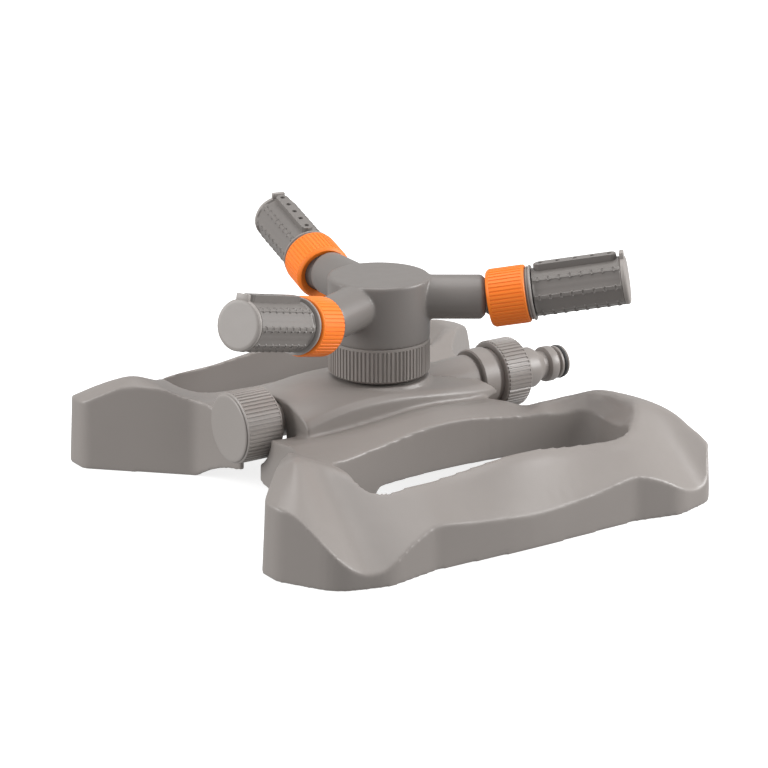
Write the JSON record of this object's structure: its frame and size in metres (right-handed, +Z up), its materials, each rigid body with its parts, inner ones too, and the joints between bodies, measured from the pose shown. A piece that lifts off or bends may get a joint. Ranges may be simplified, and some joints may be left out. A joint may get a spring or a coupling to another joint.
{
  "type": "sled base sprinkler",
  "caption": "Garden sprinkler on a sled base: rotor with tilting spray barrels, hose adaptor and screw cap on its water pipe.",
  "frame": {"origin": "on the rotor's axis, at the ground under the sled", "axes": "+Z up along the rotor's axis, +X along the water pipe towards the hose inlet, +Y to the left seen from the screw cap"},
  "size_m": [0.227, 0.2466, 0.1121],
  "materials": {
    "grey_plastic": "warm grey, semi matt moulded plastic",
    "orange_plastic": "orange moulded plastic",
    "light_plastic": "slightly lighter grey plastic",
    "white_plastic": "white low friction plastic",
    "rubber": "black seal rubber",
    "steel": "zinc plated steel"
  },
  "bodies": {
    "base": {"sled_base": "grey_plastic", "water_pipe": "grey_plastic", "clamp_front": "grey_plastic", "clamp_rear": "grey_plastic", "clamp_screws": "steel", "spindle": "grey_plastic", "thrust_washer": "white_plastic"},
    "rotor": {"rotor_hub": "grey_plastic", "swivel_nut": "grey_plastic", "rotor_seal": "rubber", "knuckle_right": "grey_plastic", "knuckle_rear": "grey_plastic", "knuckle_front": "grey_plastic"},
    "cap_carriage": {"cap_washer": "rubber"},
    "cap": {"end_cap": "grey_plastic"},
    "adaptor_carriage": {"adaptor_washer": "rubber"},
    "adaptor": {"hose_adaptor": "grey_plastic", "spigot_ring": "rubber"},
    "tilt_right": {"socket_right": "grey_plastic"},
    "ring_right": {"lock_ring_right": "orange_plastic"},
    "spray_right": {"barrel_right": "grey_plastic", "end_plug_right": "light_plastic"},
    "tilt_rear": {"socket_rear": "grey_plastic"},
    "ring_rear": {"lock_ring_rear": "orange_plastic"},
    "spray_rear": {"barrel_rear": "grey_plastic", "end_plug_rear": "light_plastic"},
    "tilt_front": {"socket_front": "grey_plastic"},
    "ring_front": {"lock_ring_front": "orange_plastic"},
    "spray_front": {"barrel_front": "grey_plastic", "end_plug_front": "light_plastic"}
  },
  "joints": [
    {"name": "rotor_spin", "type": "hinge", "parent": "base", "child": "rotor", "pos_m": [0, 0, 0.0847], "axis": [0, 0, 1], "continuous": true},
    {"name": "cap_slide", "type": "slide", "parent": "base", "child": "cap_carriage", "axis": [-1, 0, 0], "range_m": [0, 0.00726]},
    {"name": "cap_turn", "type": "hinge", "parent": "cap_carriage", "child": "cap", "pos_m": [-0.074, 0, 0.036], "axis": [-1, 0, 0], "range_deg": [0, 1440]},
    {"name": "adaptor_slide", "type": "slide", "parent": "base", "child": "adaptor_carriage", "axis": [1, 0, 0], "range_m": [0, 0.00726]},
    {"name": "adaptor_turn", "type": "hinge", "parent": "adaptor_carriage", "child": "adaptor", "pos_m": [0.074, 0, 0.036], "axis": [1, 0, 0], "range_deg": [0, 1440]},
    {"name": "tilt_right", "type": "hinge", "parent": "rotor", "child": "tilt_right", "pos_m": [0.04643, -0.03132, 0.0847], "axis": [-0.6428, -0.766, 0], "range_deg": [-24.8, 5.2]},
    {"name": "ring_turn_right", "type": "hinge", "parent": "tilt_right", "child": "ring_right", "pos_m": [0.04643, -0.03132, 0.0847], "axis": [0.7549, -0.6334, 0.1702], "range_deg": [0, 90]},
    {"name": "pattern_turn_right", "type": "hinge", "parent": "tilt_right", "child": "spray_right", "pos_m": [0.04643, -0.03132, 0.0847], "axis": [0.7549, -0.6334, 0.1702], "continuous": true},
    {"name": "tilt_rear", "type": "hinge", "parent": "rotor", "child": "tilt_rear", "pos_m": [0.00391, 0.05586, 0.0847], "axis": [0.9848, -0.1736, 0], "range_deg": [-27, 3]},
    {"name": "ring_turn_rear", "type": "hinge", "parent": "tilt_rear", "child": "ring_rear", "pos_m": [0.00391, 0.05586, 0.0847], "axis": [0.1699, 0.9633, 0.2079], "range_deg": [0, 90]},
    {"name": "pattern_turn_rear", "type": "hinge", "parent": "tilt_rear", "child": "spray_rear", "pos_m": [0.00391, 0.05586, 0.0847], "axis": [0.1699, 0.9633, 0.2079], "continuous": true},
    {"name": "tilt_front", "type": "hinge", "parent": "rotor", "child": "tilt_front", "pos_m": [-0.05033, -0.02455, 0.0847], "axis": [-0.3859, 0.9225, 0], "range_deg": [-29.3, 0.7]},
    {"name": "ring_turn_front", "type": "hinge", "parent": "tilt_front", "child": "ring_front", "pos_m": [-0.05033, -0.02455, 0.0847], "axis": [-0.894, -0.3739, 0.247], "range_deg": [0, 90]},
    {"name": "pattern_turn_front", "type": "hinge", "parent": "tilt_front", "child": "spray_front", "pos_m": [-0.05033, -0.02455, 0.0847], "axis": [-0.894, -0.3739, 0.247], "continuous": true}
  ],
  "couplings": [
    {"joint": "cap_slide", "follows": "cap_turn", "m_per_rad": 0.00028871},
    {"joint": "adaptor_slide", "follows": "adaptor_turn", "m_per_rad": 0.00028871}
  ]
}
